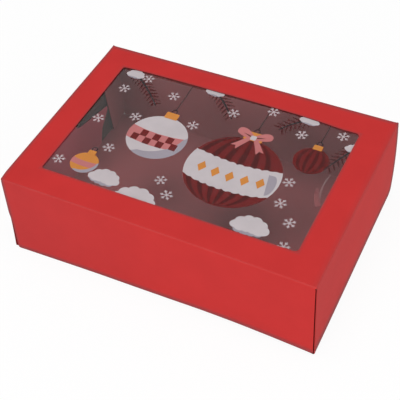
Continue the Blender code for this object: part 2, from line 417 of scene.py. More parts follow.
for hand, side in HANDS:
    def inner_lie(point):
        height = (point.z - ear_low.z) / (roll_start - ear_low.z)
        return Vector((-side * INNER_BOW * math.sin(math.pi * max(0.0, height)), 0, 0))

    outer = card(
        hand + "_wall_card", [[rectangle(FRONT_FACE, BACK_FACE, 0, risen(ear_high.z))]],
        on_card((side * (SIDE_FACE - FOLD), 0, 0), (0, 1, 0), (side, 0, 0), (0, 0, -1), ONE_CREASE),
        across=crease_cuts, finish=(coated_red, shaded_side, cut_edge))
    fit(outer, "tray", "tray_board", hand + "_wall")
    strip = card(
        hand + "_roll_card", [[rectangle(strip_low.y, strip_high.y, 0, strip_bends[1][0] + FOLD_RUN)]],
        on_card((side * SIDE_FACE, 0, roll_start), (0, 1, 0), (0, 0, 1), (side, 0, 0), strip_bends),
        across=bend_cuts(strip_bends))
    fit(strip, "tray", "tray_board", hand + "_roll_strip")
    inner = card(
        hand + "_inner_card", [[inner_outline()]],
        on_card((side * inner_low.x, 0, roll_start), (0, 1, 0), (0, 0, -1), (-side, 0, 0)),
        across=steps(0, roll_start - ear_low.z, 10)[1:], lie=inner_lie,
        finish=(dulled_red, bare_side, cut_edge))
    fit(inner, "tray", "tray_board", hand + "_inner_wall")

# Hinge crease: the scored and folded line of card between the back wall's top and the lid.
# It is the same card, which bends round as the lid swings back; here it is built in its closed shape only.
HALF_WIDTH = lid_high.y
TOP = lid_high.z
# Share of painted shade at the lid's left edge, the left skirt's top fold and the hinge fold.
EDGE_SHADE = 0.55
# The whole hinge fold is painted evenly darker, as painted shade along the lid's back edge.
hinge_fold = card(
    "hinge_fold_card", [[rectangle(-wall_end, wall_end, 0, FOLD_RUN)]],
    on_card((0, HALF_WIDTH, TOP - FOLD), (1, 0, 0), (0, 0, 1), (0, 1, 0), ONE_CREASE),
    across=crease_cuts, along=back_columns, lie=back_lie, painted_shade=lambda a, s: EDGE_SHADE)
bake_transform(hinge_fold)

# Lid frame: the top panel of the blank with its window cut out, coated side up.
# Its margins sag a little towards the window, and its side edges roll softly into the side skirts.
HALF_LENGTH = lid_high.x
WINDOW_RIGHT = 94 * MM
WINDOW_FRONT = -59 * MM
WINDOW_BACK = 58 * MM
WINDOW_CORNER = 2 * MM
WORN_CORNER = 3.0 * MM
LID_SAG = 0.45 * MM
EDGE_DROP = 0.3 * MM
EDGE_RUN = 5 * MM
RAW_SHORT = 0.5 * MM
LEFT_OUT = 0.35 * MM
FRONT_OUT = 1.6 * MM
CORNER_PINCH = (0.7 * MM, 0.4 * MM)
PINCH_RUN = 3.5 * MM
BACK_CURL = 1.0 * MM
BACK_CURL_END = 10 * MM
BACK_ARCH = 2.0 * MM
ARCH_MIDDLE = -15 * MM
ARCH_HALF = 95 * MM
# Shares and runs of painted shade round the window and along the lid's edges.
RIM_RUN = 2.5 * MM
RIM_SHADE = 0.35
FOLD_SHADE = 0.16
BACK_SHADE = {"full": 1.1 * MM, "run": 3.6 * MM}
BACK_CUTS_RUN = 4 * MM
CAP_START = 0.04


def smooth(share):
    share = min(1.0, max(0.0, share))
    return share * share * (3 - 2 * share)


def shade_falloff(distance, most=EDGE_SHADE, full=0.9 * MM, run=2.8 * MM):
    """Share of painted shade at a distance from an edge: the most as far as full, then less over the run.
    """
    return most * (1 - smooth((distance - full) / run))


def arched(x):
    """Share of the back margin's arch at x, which runs out near the window's right end."""
    return max(0.0, 1 - ((x - ARCH_MIDDLE) / ARCH_HALF) ** 4)


def window_back(x):
    return WINDOW_BACK + BACK_ARCH * arched(x)


def lid_lie(point):
    """How far the lid's card lies off its true place, on the frame and down its skirts.

    It sags towards the window, curls up along the window's back edge, stands out at its left side and
    its front right corner, and is pinched in at its front left corner.
    """
    in_x = 1 - min(1.0, abs(point.x) / HALF_LENGTH) ** 4
    in_y = 1 - min(1.0, abs(point.y) / HALF_WIDTH) ** 4
    right = (point.x + HALF_LENGTH) / (2 * HALF_LENGTH)
    ahead = (HALF_WIDTH - point.y) / (2 * HALF_WIDTH)
    rear = smooth((HALF_WIDTH - point.y) / (2 * EDGE_RUN))
    drop = EDGE_DROP * smooth((abs(point.x) - HALF_LENGTH + EDGE_RUN) / EDGE_RUN) * rear
    curl = BACK_CURL * arched(point.x) * smooth((HALF_WIDTH - point.y) / (HALF_WIDTH - WINDOW_BACK))
    curl *= smooth((point.y - BACK_CURL_END) / (WINDOW_BACK - BACK_CURL_END))
    height = min(1.0, max(0.0, point.z / TOP))
    rise = (curl - LID_SAG * in_x * in_y - drop) * height
    off_corner = Vector((point.x + HALF_LENGTH, point.y + HALF_WIDTH)).length
    pinch = height * math.exp(-(off_corner / PINCH_RUN) ** 2)
    aside = CORNER_PINCH[0] * pinch - LEFT_OUT * height * (1 - right) ** 2
    return Vector((aside, CORNER_PINCH[1] * pinch - FRONT_OUT * ahead ** 5 * right ** 3, rise))


def lid_shade(x, y):
    """Painted shade in a rim round the window and along the lid's left, back and right edges."""
    off = max(abs(x) - WINDOW_RIGHT, y - window_back(x), WINDOW_FRONT - y)
    right = shade_falloff(HALF_LENGTH - x, most=FOLD_SHADE, full=0.0, run=EDGE_RUN)
    back = shade_falloff(HALF_WIDTH - y, **BACK_SHADE)
    return max(RIM_SHADE * smooth(1 - off / RIM_RUN), shade_falloff(x + HALF_LENGTH), back, right)


def on_level(z):
    """Place on a level sheet, with a along X and s along Y."""
    return on_card((0, 0, z), (1, 0, 0), (0, 1, 0), (0, 0, 1))


lid_side = HALF_LENGTH - FOLD
lid_front = FOLD - HALF_WIDTH
lid_rear = HALF_WIDTH - FOLD
raw_rear = HALF_WIDTH - RAW_SHORT
frame_outline = [
    (-lid_side, lid_front), (lid_side, lid_front), (lid_side, raw_rear), (wall_end, raw_rear),
    (wall_end, lid_rear), (-wall_end, lid_rear), (-wall_end, raw_rear), (-lid_side, raw_rear)]
window = [(-WINDOW_RIGHT, WINDOW_FRONT, WINDOW_CORNER), (WINDOW_RIGHT, WINDOW_FRONT, WORN_CORNER),
          (WINDOW_RIGHT, window_back(WINDOW_RIGHT), WORN_CORNER)]
window += [(x, window_back(x), 0) for x in steps(WINDOW_RIGHT, -WINDOW_RIGHT, 30)[1:-1]]
window += [(-WINDOW_RIGHT, window_back(-WINDOW_RIGHT), WINDOW_CORNER)]
lid_columns = steps(-lid_side, lid_side, 28)[1:-1]
edge_lines = [side * x for side in (-1, 1) for x in steps(HALF_LENGTH - EDGE_RUN, lid_side, 5)[:-1]]
rim_x = [side * x for side in (-1, 1) for x in steps(WINDOW_RIGHT, WINDOW_RIGHT + RIM_RUN, 3)]
rim_y = steps(WINDOW_FRONT - RIM_RUN, WINDOW_FRONT, 3)
rim_y += steps(WINDOW_BACK, WINDOW_BACK + BACK_ARCH + RIM_RUN, 6)
lid_frame = card(
    "lid_frame_card", [[frame_outline, rounded(window)]], on_level(TOP),
    across=steps(lid_front, lid_rear, 20)[1:-1] + rim_y + steps(lid_rear - BACK_CUTS_RUN, lid_rear, 5)[:-1],
    along=lid_columns + edge_lines + rim_x, lie=lid_lie, painted_shade=lid_shade)
fit(lid_frame, "lid", "lid_board", "lid_panel")

for hand, side in HANDS:
    def on_cap(a, s):
        """Rounded corner between two creases: a turns from the side to the front and s goes down."""
        around, down = a * math.pi / 2, s * math.pi / 2
        level = math.sin(down)
        normal = Vector((side * math.cos(around) * level, -math.sin(around) * level, math.cos(down)))
        return Vector((side * lid_side, lid_front, TOP - FOLD)) + normal * FOLD, normal, math.sin(2 * down)

    cap = card(
        hand + "_lid_corner_card", [[rectangle(0, 1, CAP_START, 1)]], on_cap,
        across=steps(CAP_START, 1, 6)[1:-1], along=steps(0, 1, 6)[1:-1], lie=lid_lie)
    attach(cap, "lid")

# Side skirts and corner tabs: the lid's side flaps, each with a tab creased from its front edge and tucked
# behind the front skirt. The right flap bellies out, the left one flares at its lower front corner.
SKIRT_FOOT = 0.2 * MM
# Shares and runs of painted shade on the side skirts, and the foot band where the skirts are cut finer for
# it.
SIDE_FOOT_SHADE = {"most": 0.66, "full": 1.6 * MM, "run": 11 * MM}
REAR_SHADE = {"most": 0.74, "full": 1.8 * MM, "run": 4.4 * MM}
SIDE_SHADE_FADE = {"most": 0.07, "full": 0.0, "run": 120 * MM}
SIDE_SHADE_BAND = 13 * MM
REAR_CUTS = (7 * MM, 1 * MM)
# Share and start of painted shade on the tabs' folds.
TAB_SHADE = {-1: 0.75, 1: 1.0}
TAB_SHADE_START = 0.35
tab_low, tab_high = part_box("right_corner_tab")
TAB_FACE = tab_low.y
REAR_CORNER = 5 * MM
TAB_TAPER = 5 * MM
TAB_CORNER = 6 * MM
TAB_DARK = 2 * MM
FRONT_BELLY = 0.7 * MM
FRONT_FOOT_OUT = 1.6 * MM
REAR_BELLY = 1.4 * MM
REAR_FOOT_OUT = 1.0 * MM
LEFT_FLARE = 1.7 * MM
LEFT_FLARE_RUN = 55 * MM
LEFT_FLARE_CURL = 2.8


def fallen(z):
    """Distance over the coated side from the lid's crease down to height z."""
    return FOLD_RUN + TOP - FOLD - z


def hung(point):
    """Share of the way down a skirt, from nothing at its crease to one at its foot."""
    return max(0.0, TOP - FOLD - point.z) / (TOP - FOLD - SKIRT_FOOT)


def side_out(side, y, down):
    """How far a side skirt stands out at y, at the share down from its crease."""
    if side < 0:
        return LEFT_FLARE * down ** LEFT_FLARE_CURL * math.exp(-((y - TAB_FACE) / LEFT_FLARE_RUN) ** 2)
    rear = smooth((y - TAB_FACE) / (HALF_WIDTH - TAB_FACE))
    belly = FRONT_BELLY + (REAR_BELLY - FRONT_BELLY) * rear
    foot_out = FRONT_FOOT_OUT + (REAR_FOOT_OUT - FRONT_FOOT_OUT) * rear
    return (4 * belly - foot_out) * down + (2 * foot_out - 4 * belly) * down ** 2


def side_shade(side, y, s):
    """Painted shade along a side skirt's foot, rear edge and top fold, and a broad painted shade that fades
    to the rear.
    """
    top = shade_falloff(s - FOLD_RUN, most=EDGE_SHADE if side < 0 else FOLD_SHADE)
    foot = shade_falloff(fallen(SKIRT_FOOT) - s, **SIDE_FOOT_SHADE)
    return max(foot, shade_falloff(HALF_WIDTH - y, **REAR_SHADE), shade_falloff(y + HALF_WIDTH, **SIDE_SHADE_FADE), top)


def tab_fold_shade(side, s):
    """Painted shade on the tab's fold in the slit, past the part of it that faces the side. It is darkest
    on the right.
    """
    in_shade = smooth(4 * (s / FOLD_RUN - TAB_SHADE_START))
    return TAB_SHADE[side] * in_shade * (1 - smooth((s - FOLD_RUN) / TAB_DARK - 1))


# The tabs' card: the coated red with a near-black shade colour, painted as the shade in the front corner
# slits.
tab_red = toned_material(
    "tab_card_painted_slit_shade", (0.54, 0.034, 0.033), (0.49, 0.060, 0.057), 0.7, 0.03 * MM,
    grain=700.0, cloud=60.0, shade_colour=(0.06, 0.001, 0.001), specular=0.02)
shade_band_start = fallen(SKIRT_FOOT + SIDE_SHADE_BAND)
tab_fold = TAB_FACE + FOLD
skirt_outline = rounded([
    (lid_front, 0, 0), (HALF_WIDTH, 0, 0), (HALF_WIDTH, fallen(SKIRT_FOOT), REAR_CORNER),
    (tab_fold, fallen(SKIRT_FOOT), 0), (tab_fold, fallen(tab_high.z), 0),
    (TAB_FACE, fallen(tab_high.z), 0), (TAB_FACE, FOLD_RUN, 0), (lid_front, FOLD_RUN, 0)])
tab_root = FOLD_RUN + lid_side - tab_high.x
tab_tip = FOLD_RUN + lid_side - tab_low.x
tab_outline = rounded([
    (SKIRT_FOOT, 0, 0), (SKIRT_FOOT, tab_root, 0), (SKIRT_FOOT + TAB_TAPER, tab_tip, TAB_CORNER),
    (tab_high.z - TAB_TAPER, tab_tip, TAB_CORNER), (tab_high.z, tab_root, 0), (tab_high.z, 0, 0)])
for hand, side in HANDS:
    def skirt_lie(point):
        return lid_lie(point) + Vector((side * side_out(side, point.y, hung(point)), 0, 0))

    def tab_lie(point):
        return skirt_lie(Vector((side * HALF_LENGTH, TAB_FACE, point.z)))

    skirt = card(
        hand + "_skirt_card", [[skirt_outline]],
        on_card((side * lid_side, 0, TOP), (0, 1, 0), (side, 0, 0), (0, 0, 1), ONE_CREASE),
        across=crease_cuts + steps(fallen(TOP - FOLD), shade_band_start, 9)[1:]
        + steps(shade_band_start, fallen(SKIRT_FOOT), 10)[1:-1],
        along=steps(lid_front, HALF_WIDTH, 20)[1:-1]
        + steps(HALF_WIDTH - REAR_CUTS[0], HALF_WIDTH - REAR_CUTS[1], 6),
        lie=skirt_lie, painted_shade=lambda y, s: side_shade(side, y, s))
    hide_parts(hand + "_skirt")
    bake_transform(skirt)
    tab = card(
        hand + "_tab_card", [[tab_outline]],
        on_card((side * HALF_LENGTH, tab_fold, 0), (0, 0, 1), (0, -1, 0), (side, 0, 0), ONE_CREASE),
        across=crease_cuts + steps(FOLD_RUN + TAB_DARK, FOLD_RUN + 2 * TAB_DARK, 3),
        along=steps(SKIRT_FOOT, tab_high.z, 12)[1:-1], lie=tab_lie,
        finish=(tab_red, bare_side, cut_edge), painted_shade=lambda z, s: tab_fold_shade(side, s))
    fit(tab, "lid_" + hand, "lid_board", hand + "_corner_tab")

# Front skirt: the lid's front flap, creased down over the tray's front wall and free at its lower edge.
# It stands proud of the corner tabs, so a slit runs down each front corner, darkened by painted shade on
# its cut edges and the tabs' folds, and its foot arches up.
SKIRT_END = HALF_LENGTH - 0.55 * MM
SKIRT_END_RUN = 30 * MM
SKIRT_CORNER = 1.5 * MM
LEFT_END = HALF_LENGTH - 1.9 * MM
LEFT_CUT = (37 * MM, 25 * MM)
SHOULDER = 1.2 * MM
LEFT_LEAN = 0.3 * MM
RIGHT_LEAN = 0.4 * MM
MIDDLE_IN = 1.2 * MM
FOOT_PLACES = ((-115, 0.0), (-85, 0.3), (-50, 0.9), (-15, 1.2), (10, 1.8), (35, 2.8), (60, 3.1), (85, 2.8),
               (115, 2.0))
# Shares and runs of painted shade on the front skirt, and the foot band where it is cut finer.
FRONT_FOOT_SHADE = {"most": 0.68, "full": 0.6 * MM, "run": 5.4 * MM}
END_SHADE = {"most": 0.75, "full": 1.0 * MM, "run": 4.2 * MM}
FRONT_SHADE_FADE = {"most": 0.14, "full": 0.0, "run": 150 * MM}
FRONT_SHADE_BAND = 8 * MM


def front_foot(x):
    """Height of the front skirt's foot, which arches up most right of its middle."""
    for (x0, z0), (x1, z1) in zip(FOOT_PLACES, FOOT_PLACES[1:]):
        if x <= x1 * MM:
            break
    return SKIRT_FOOT + (z0 + (z1 - z0) * (x / MM - x0) / (x1 - x0)) * MM


def front_shade(x, s):
    """Painted shade along the front skirt's foot and its left end, and a broad painted shade that fades to
    the right.
    """
    left = x + HALF_LENGTH
    foot = shade_falloff(fallen(front_foot(x)) - s, **FRONT_FOOT_SHADE)
    return max(foot, shade_falloff(left, **END_SHADE), shade_falloff(left, **FRONT_SHADE_FADE))


def front_lie(point):
    """The front skirt bows in along its middle, and its right end goes out with the right skirt."""
    down = hung(point)
    lean = LEFT_LEAN + (RIGHT_LEAN - LEFT_LEAN) * smooth((point.x + HALF_LENGTH) / (2 * HALF_LENGTH))
    out = lean * math.sqrt(down) - MIDDLE_IN * (1 - (point.x / HALF_LENGTH) ** 2) * down
    aside = side_out(1, TAB_FACE, down) * smooth((point.x - HALF_LENGTH) / SKIRT_END_RUN + 1)
    return lid_lie(point) + Vector((aside, -out, 0))


front_outline = [
    (-lid_side, 0, 0), (lid_side, 0, 0), (lid_side, FOLD_RUN, 0), (SKIRT_END, FOLD_RUN + SHOULDER, 0),
    (SKIRT_END, fallen(front_foot(SKIRT_END)), SKIRT_CORNER)]
front_outline += [(x, fallen(front_foot(x)), 0) for x in steps(SKIRT_END, -LEFT_END, 28)[1:-1]]
front_outline += [
    (-LEFT_END, fallen(front_foot(-LEFT_END)), SKIRT_CORNER), (-LEFT_END, fallen(LEFT_CUT[1]), 0),
    (-SKIRT_END, fallen(LEFT_CUT[0]), 0), (-SKIRT_END, FOLD_RUN + SHOULDER, 0), (-lid_side, FOLD_RUN, 0)]
arch_start = fallen(SKIRT_FOOT + FRONT_SHADE_BAND)
# The front skirt's cut edges are painted near black, as painted shade in the corner slits.
slit_edge = toned_material(
    "cut_edge_painted_slit_shade", (0.06, 0.002, 0.002), (0.08, 0.004, 0.004), 0.9, 0.06 * MM,
    grain=1800.0, change=0.15, specular=0.02)
front_skirt = card(
    "front_skirt_card", [[rounded(front_outline)]],
    on_card((0, lid_front, TOP), (1, 0, 0), (0, -1, 0), (0, 0, 1), ONE_CREASE),
    across=crease_cuts + steps(fallen(TOP - FOLD), arch_start, 8)[1:]
    + steps(arch_start, fallen(SKIRT_FOOT), 8)[1:-1],
    along=lid_columns + edge_lines, lie=front_lie, finish=(coated_red, bare_side, slit_edge),
    painted_shade=front_shade)
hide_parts("front_skirt")
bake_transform(front_skirt)

# Window film: clear plastic sheet glued under the frame round the window. It hangs a little slack,
# with a few small wrinkles where it was pulled down near the right edge. It mirrors a little, and lets
# the lamps and the bounced light through.
film_low, film_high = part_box("window_film")
FILM_TOP = film_high.z
FILM = FILM_TOP - film_low.z
FILM_CORNER = 2 * MM
GLUE_IN = 3 * MM
FILM_DROP = 0.8 * MM
FILM_WAVE = 0.12 * MM
WAVE_LENGTH = 62 * MM
WAVE_SLANT = 0.4
WRINKLE_HEIGHT = 0.22 * MM
WRINKLE_WIDTH = 0.8 * MM
WRINKLES = (((88.6, 12), (88.2, -3)), ((88.2, -3), (90.6, -9.5)), ((85.4, -3), (92.0, -14.5)))
WRINKLE_CUTS_X = (83.5 * MM, 93.5 * MM)
WRINKLE_CUTS_Y = (-17 * MM, 14 * MM)
FILM_CELL = 4 * MM


def wrinkle(x, y):
    """Height of the small pinched ridges near the right edge of the film."""
    height = 0.0
    for start, end in WRINKLES:
        start, end = Vector(start) * MM, Vector(end) * MM
        run = end - start
        along = (Vector((x, y)) - start).dot(run) / run.length_squared
        nearest = start + run * min(1.0, max(0.0, along))
        off = (Vector((x, y)) - nearest).length
        height = max(height, WRINKLE_HEIGHT * math.exp(-(off / WRINKLE_WIDTH) ** 2))
    return height


def film_lie(point):
    half_x = WINDOW_RIGHT + GLUE_IN
    half_y = (WINDOW_BACK - WINDOW_FRONT) / 2 + GLUE_IN
    middle = (WINDOW_BACK + WINDOW_FRONT) / 2
    in_x = max(0.0, 1 - (point.x / half_x) ** 2)
    in_y = max(0.0, 1 - ((point.y - middle) / half_y) ** 2)
    loose = smooth(4 * in_x) * smooth(4 * in_y)
    wave = FILM_WAVE * math.sin(math.tau * (point.x + WAVE_SLANT * point.y) / WAVE_LENGTH) * loose
    return lid_lie(point) + Vector((0, 0, wave + wrinkle(point.x, point.y) - FILM_DROP * in_x * in_y))


clear_film, film_tree, film_shader = new_material("clear_film")
place = add(film_tree, "ShaderNodeTexCoord")
haze = add(film_tree, "ShaderNodeTexNoise", {
    "Vector": place.outputs["Object"], "Scale": 40.0, "Detail": 4.0})
rough = add(film_tree, "ShaderNodeMapRange", {
    "Value": haze.outputs["Fac"], "To Min": 0.015, "To Max": 0.05})
path = add(film_tree, "ShaderNodeLightPath")
lets = add(film_tree, "ShaderNodeMath", {
    0: path.outputs["Is Shadow Ray"], 1: path.outputs["Is Diffuse Ray"]}, operation="MAXIMUM")
solid = add(film_tree, "ShaderNodeMath", {0: 1.0, 1: lets.outputs[0]}, operation="SUBTRACT")
feed(film_tree, film_shader, {
    "Base Color": (0.92, 0.92, 0.93, 1.0), "Transmission Weight": 1.0, "IOR": 1.3,
    "Roughness": rough.outputs["Result"], "Alpha": solid.outputs[0]})
film_x = steps(film_low.x, film_high.x, round((film_high.x - film_low.x) / FILM_CELL))[1:-1]
film_y = steps(film_low.y, film_high.y, round((film_high.y - film_low.y) / FILM_CELL))[1:-1]
window_sheet = card(
    "window_sheet", [[rectangle(film_low.x, film_high.x, film_low.y, film_high.y, FILM_CORNER)]],
    on_level(FILM_TOP), across=film_y + steps(*WRINKLE_CUTS_Y, 24),
    along=film_x + steps(*WRINKLE_CUTS_X, 16), lie=film_lie, thick=FILM, finish=(clear_film,))
fit(window_sheet, "lid", "window_film", "window_film")

# Dark line: a thin dark brown-red strip on the film along the window's back edge, reaching under the frame.
# It is widest at the left and thins out to the right.
DARK_LINE_THICK = 0.02 * MM
DARK_LINE_UNDER = 1.0 * MM
DARK_LINE_SHOWN = 1.8 * MM
DARK_LINE_END = 62 * MM
back_edge_dark_tone = toned_material(
    "back_edge_dark_tone", (0.11, 0.020, 0.018), (0.12, 0.03, 0.03), 0.45, 0.02 * MM,
    grain=500.0, cloud=80.0, change=0.2, alpha=0.62)


def film_layer(name, outlines, level, thick, material):
    """Thin layer with its upper side at level, which moves with the film and lies as it does."""
    made = card(
        name, outlines, on_level(level), across=film_y, along=film_x, lie=film_lie, thick=thick,
        finish=(material,))
    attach(made, "lid")


def dark_line_width(x):
    return DARK_LINE_SHOWN * (1 - ((x + WINDOW_RIGHT) / (DARK_LINE_END + WINDOW_RIGHT)) ** 2)


dark_line_x = steps(-WINDOW_RIGHT, DARK_LINE_END, 30)
dark_line_outline = [(x, window_back(x) + DARK_LINE_UNDER) for x in dark_line_x]
dark_line_outline += [(x, window_back(x) - dark_line_width(x)) for x in reversed(dark_line_x)]
film_layer("back_edge_dark_line", [[dark_line_outline]], FILM_TOP + DARK_LINE_THICK, DARK_LINE_THICK, back_edge_dark_tone)

# Printed design: hanging baubles, a bow, fir twigs, snow and snowflakes, screened on the film.
# It is a plain seasonal pattern, and each ink is a separate thin layer over the one below. The design is
# set out in millimetres, and each ball in it is its middle and its radius.
INK = 0.02 * MM
INK_STEP = 0.026 * MM
CIRCLE_STEPS = 44
TUFT_STEPS = 110
TUFT_SHADE = 0.34
SCALLOP_PITCH = 6.0
STRIPE_TRIM = 8
SHADE_RUN = (-120, 20)


def ink(name, colour, alpha, roughness=0.22):
    """Thin printed ink. Its alpha is for one of a layer's two faces."""
    return toned_material(
        name, colour, colour, roughness, 0.004 * MM, grain=1500.0, cloud=60.0, change=0.05,
        ior=1.33, alpha=alpha)


red_ink = ink("dark_red_ink", (0.17, 0.006, 0.006), 0.62)
deep_ink = ink("deep_red_ink", (0.085, 0.006, 0.006), 0.55)
white_ink = ink("white_ink", (0.60, 0.54, 0.56), 0.80)
lilac_ink = ink("lilac_ink", (0.37, 0.33, 0.38), 0.80)
orange_ink = ink("orange_ink", (0.66, 0.25, 0.045), 0.80)
pink_ink = ink("pink_ink", (0.58, 0.19, 0.19), 0.75)
black_ink = ink("black_ink", (0.022, 0.014, 0.017), 0.85)
flake_ink = ink("pale_pink_ink", (0.56, 0.46, 0.48), 0.80)


def printed(name, loops, colour, layer):
    """Ink shapes in one layer over the film, as loops of points in millimetres."""
    outlines = [[[Vector(point) * MM for point in loop]] for loop in loops]
    film_layer(name, outlines, FILM_TOP + INK + layer * INK_STEP, INK, colour)


def arc(cx, cy, rx, ry, start, end, count):
    """Points on part of an ellipse, with angles in degrees."""
    return [(cx + rx * math.cos(math.radians(t)), cy + ry * math.sin(math.radians(t)))
            for t in steps(start, end, count)]


def disc(cx, cy, radius):
    return arc(cx, cy, radius, radius, 0, 360, CIRCLE_STEPS)[:-1]


LUMPS = (
    (-7.4, -1.0, 3.0), (-5.2, 2.0, 3.0), (-1.6, 3.6, 3.2), (2.4, 3.4, 3.1), (5.8, 1.4, 3.0),
    (7.8, -1.6, 2.6), (5.0, -3.6, 2.8), (1.4, -4.0, 2.9), (-2.2, -3.6, 2.8), (-5.4, -3.2, 2.6), (0, 0, 4.0),
)


def tuft(cx, cy, size, flip):
    """Outline of a tuft of snow, made up of round lumps that overlap."""
    points = []
    for t in steps(0, math.tau, TUFT_STEPS)[:-1]:
        ray = Vector((math.cos(t), math.sin(t)))
        reach = 0.0
        for x, y, radius in LUMPS:
            lump = Vector((x * flip, y))
            beside = lump.cross(ray)
            if abs(beside) < radius:
                reach = max(reach, lump.dot(ray) + math.sqrt(radius ** 2 - beside ** 2))
        points.append((cx + ray.x * reach * size, cy + ray.y * reach * size))
    return points


def tuft_shade(cx, cy, size, flip):
    """Shade along the lower edge of a tuft, tapered to its ends."""
    points = tuft(cx, cy, size, flip)
    lower = points[len(points) * 5 // 9:len(points) * 19 // 20]
    inner = []
    for i, (x, y) in enumerate(lower[1:-1], start=1):
        keep = 1 - TUFT_SHADE * math.sin(math.pi * i / (len(lower) - 1))
        inner.append((cx + (x - cx) * keep, cy + (y - cy) * keep))
    return lower + inner[::-1]


def curve(start, middle, end, count=10):
    """Points on a simple bent line from start to end, pulled towards middle."""
    start, middle, end = Vector(start), Vector(middle), Vector(end)
    return [start.lerp(middle, t).lerp(middle.lerp(end, t), t) for t in steps(0, 1, count)]


def stroke(points, width, tip=None):
    """Outline of a line of the given width, which may narrow to tip."""
    tip = width if tip is None else tip
    left, right = [], []
    for i, point in enumerate(points):
        run = Vector(points[min(i + 1, len(points) - 1)]) - Vector(points[max(i - 1, 0)])
        half = (width + (tip - width) * i / (len(points) - 1)) / 2
        off = Vector((-run.y, run.x)).normalized() * half
        left.append(Vector(point) + off)
        right.append(Vector(point) - off)
    return left + right[::-1]


def set_at(points, centre, degrees=0):
    """Points turned about the origin, then moved to centre."""
    c, s = math.cos(math.radians(degrees)), math.sin(math.radians(degrees))
    return [(centre[0] + x * c - y * s, centre[1] + x * s + y * c) for x, y in points]


def belt(cx, cy, radius, low, high, bulge, scallop=0.0):
    """Band across a ball between two heights, curved as if round it. Its edges may be scalloped."""
    def edge(height, sign):
        half = math.sqrt(radius ** 2 - height ** 2)
        line = []
        for x in steps(-half, half, 36):
            fall = bulge * (1 - (x / half) ** 2)
            wavy = sign * scallop * abs(math.sin(math.pi * x / SCALLOP_PITCH)) * (1 - (x / half) ** 6)
            line.append((cx + x, cy + height - fall + wavy))
        return line
    rim = [math.degrees(math.asin(height / radius)) for height in (low, high)]
    right_rim = arc(cx, cy, radius, radius, rim[0], rim[1], 6)[1:-1]
    left_rim = arc(cx, cy, radius, radius, 180 - rim[1], 180 - rim[0], 6)[1:-1]
    return edge(low, -1) + right_rim + edge(high, 1)[::-1] + left_rim


def stripe(cx, cy, radius, near, far):
    """Upright stripe on a ball between two meridians, given as shares of its radius."""
    up = arc(cx, cy, radius * near, radius, STRIPE_TRIM - 90, 90 - STRIPE_TRIM, 18)
    return up + arc(cx, cy, radius * far, radius, 90 - STRIPE_TRIM, STRIPE_TRIM - 90, 18)


def crescent(cx, cy, radius, shift_x, shift_y):
    """Shade along a ball's rim, between its circle and the same circle moved aside."""
    rim = arc(cx, cy, radius, radius, *SHADE_RUN, 20)
    inner = []
    for x, y in reversed(rim[1:-1]):
        off = Vector((x - cx, y - cy)).normalized()
        depth = max(0.0, off.dot(Vector((shift_x, shift_y))))
        inner.append((x - off.x * depth, y - off.y * depth))
    return rim + inner


big, pale, small, low_ball = (27, -9, 34), (-36, 1, 22), (72, 21, 12.5), (-70, -42, 10)
printed("print_red_balls", [disc(*big), disc(*small)], red_ink, 0)
printed("print_pale_ball", [disc(*pale)], white_ink, 0)
printed("print_orange_ball", [disc(*low_ball)], orange_ink, 0)
stripes = [stripe(*big, near, near + 0.13) for near in (-0.92, -0.62, -0.32, -0.02, 0.28, 0.58)]
stripes += [stripe(*small, near, near + 0.2) for near in (-0.8, -0.35, 0.1, 0.55)]
printed("print_stripes", stripes, deep_ink, 1)
printed("print_white_belt", [belt(*big, -13.5, 11.5, 4.5, 1.4)], white_ink, 2)
printed("print_pink_belt", [belt(*pale, -7, 6, 2.5), belt(*low_ball, -2.5, 2.5, 1)], pink_ink, 1)
printed("print_lilac_shade", [crescent(*pale, 5.0, -6.5), crescent(*low_ball, 2.0, -2.5)], lilac_ink, 2)
belt_shade = arc(big[0] + 28, big[1] - 3, 4, 9.6, -90, 90, 12) + [(big[0] + 24, big[1] + 6.5)]
printed("print_big_shade", [belt_shade], lilac_ink, 3)

DIAMOND = [(0, -5.2), (3.3, 0), (0, 5.2), (-3.3, 0)]
diamonds = []
for place_x in (-21.6, -10.8, 0, 10.8, 21.6):
    drop = 4.5 * (1 - (place_x / 31) ** 2)
    diamonds.append(set_at(DIAMOND, (big[0] + place_x, big[1] - 1 - drop)))
printed("print_diamonds", diamonds, orange_ink, 4)
CHECK_WIDE = 5.0
CHECK_HIGH = 6.2
checks = []
for row in range(2):
    for column in range(row, 7, 2):
        x = pale[0] + CHECK_WIDE * (column - 3.5)
        y = pale[1] - 7.0 + CHECK_HIGH * row - 2.5 * (1 - ((x + CHECK_WIDE / 2 - pale[0]) / 19) ** 2)
        checks.append([(x, y), (x + CHECK_WIDE, y - 0.2), (x + CHECK_WIDE, y + 6), (x, y + CHECK_HIGH)])
printed("print_checks", checks, red_ink, 3)

THREAD_END = WINDOW_BACK / MM + 6
CAP_SUNK = 1.4
RING = 1.9
caps = []
threads = []
for ball in (big, pale, small, low_ball):
    cx, cy, radius = ball
    wide = 0.17 * radius + 1.2
    top = cy + radius
    caps.append(rounded([(cx - wide, top - CAP_SUNK, 0.6), (cx + wide, top - CAP_SUNK, 0.6),
                         (cx + wide, top + wide, 0.8), (cx - wide, top + wide, 0.8)]))
    ring_y = top + wide + 1.6
    threads.append(stroke(arc(cx, ring_y, RING, RING, -80, 260, 20), 0.7))
    if ball is not low_ball:
        line = [(cx, ring_y + RING), (cx + 0.4, (ring_y + THREAD_END) / 2), (cx, THREAD_END)]
        threads.append(stroke(line, 0.6))
printed("print_ball_caps", caps, orange_ink, 5)
printed("print_threads", threads, black_ink, 0)

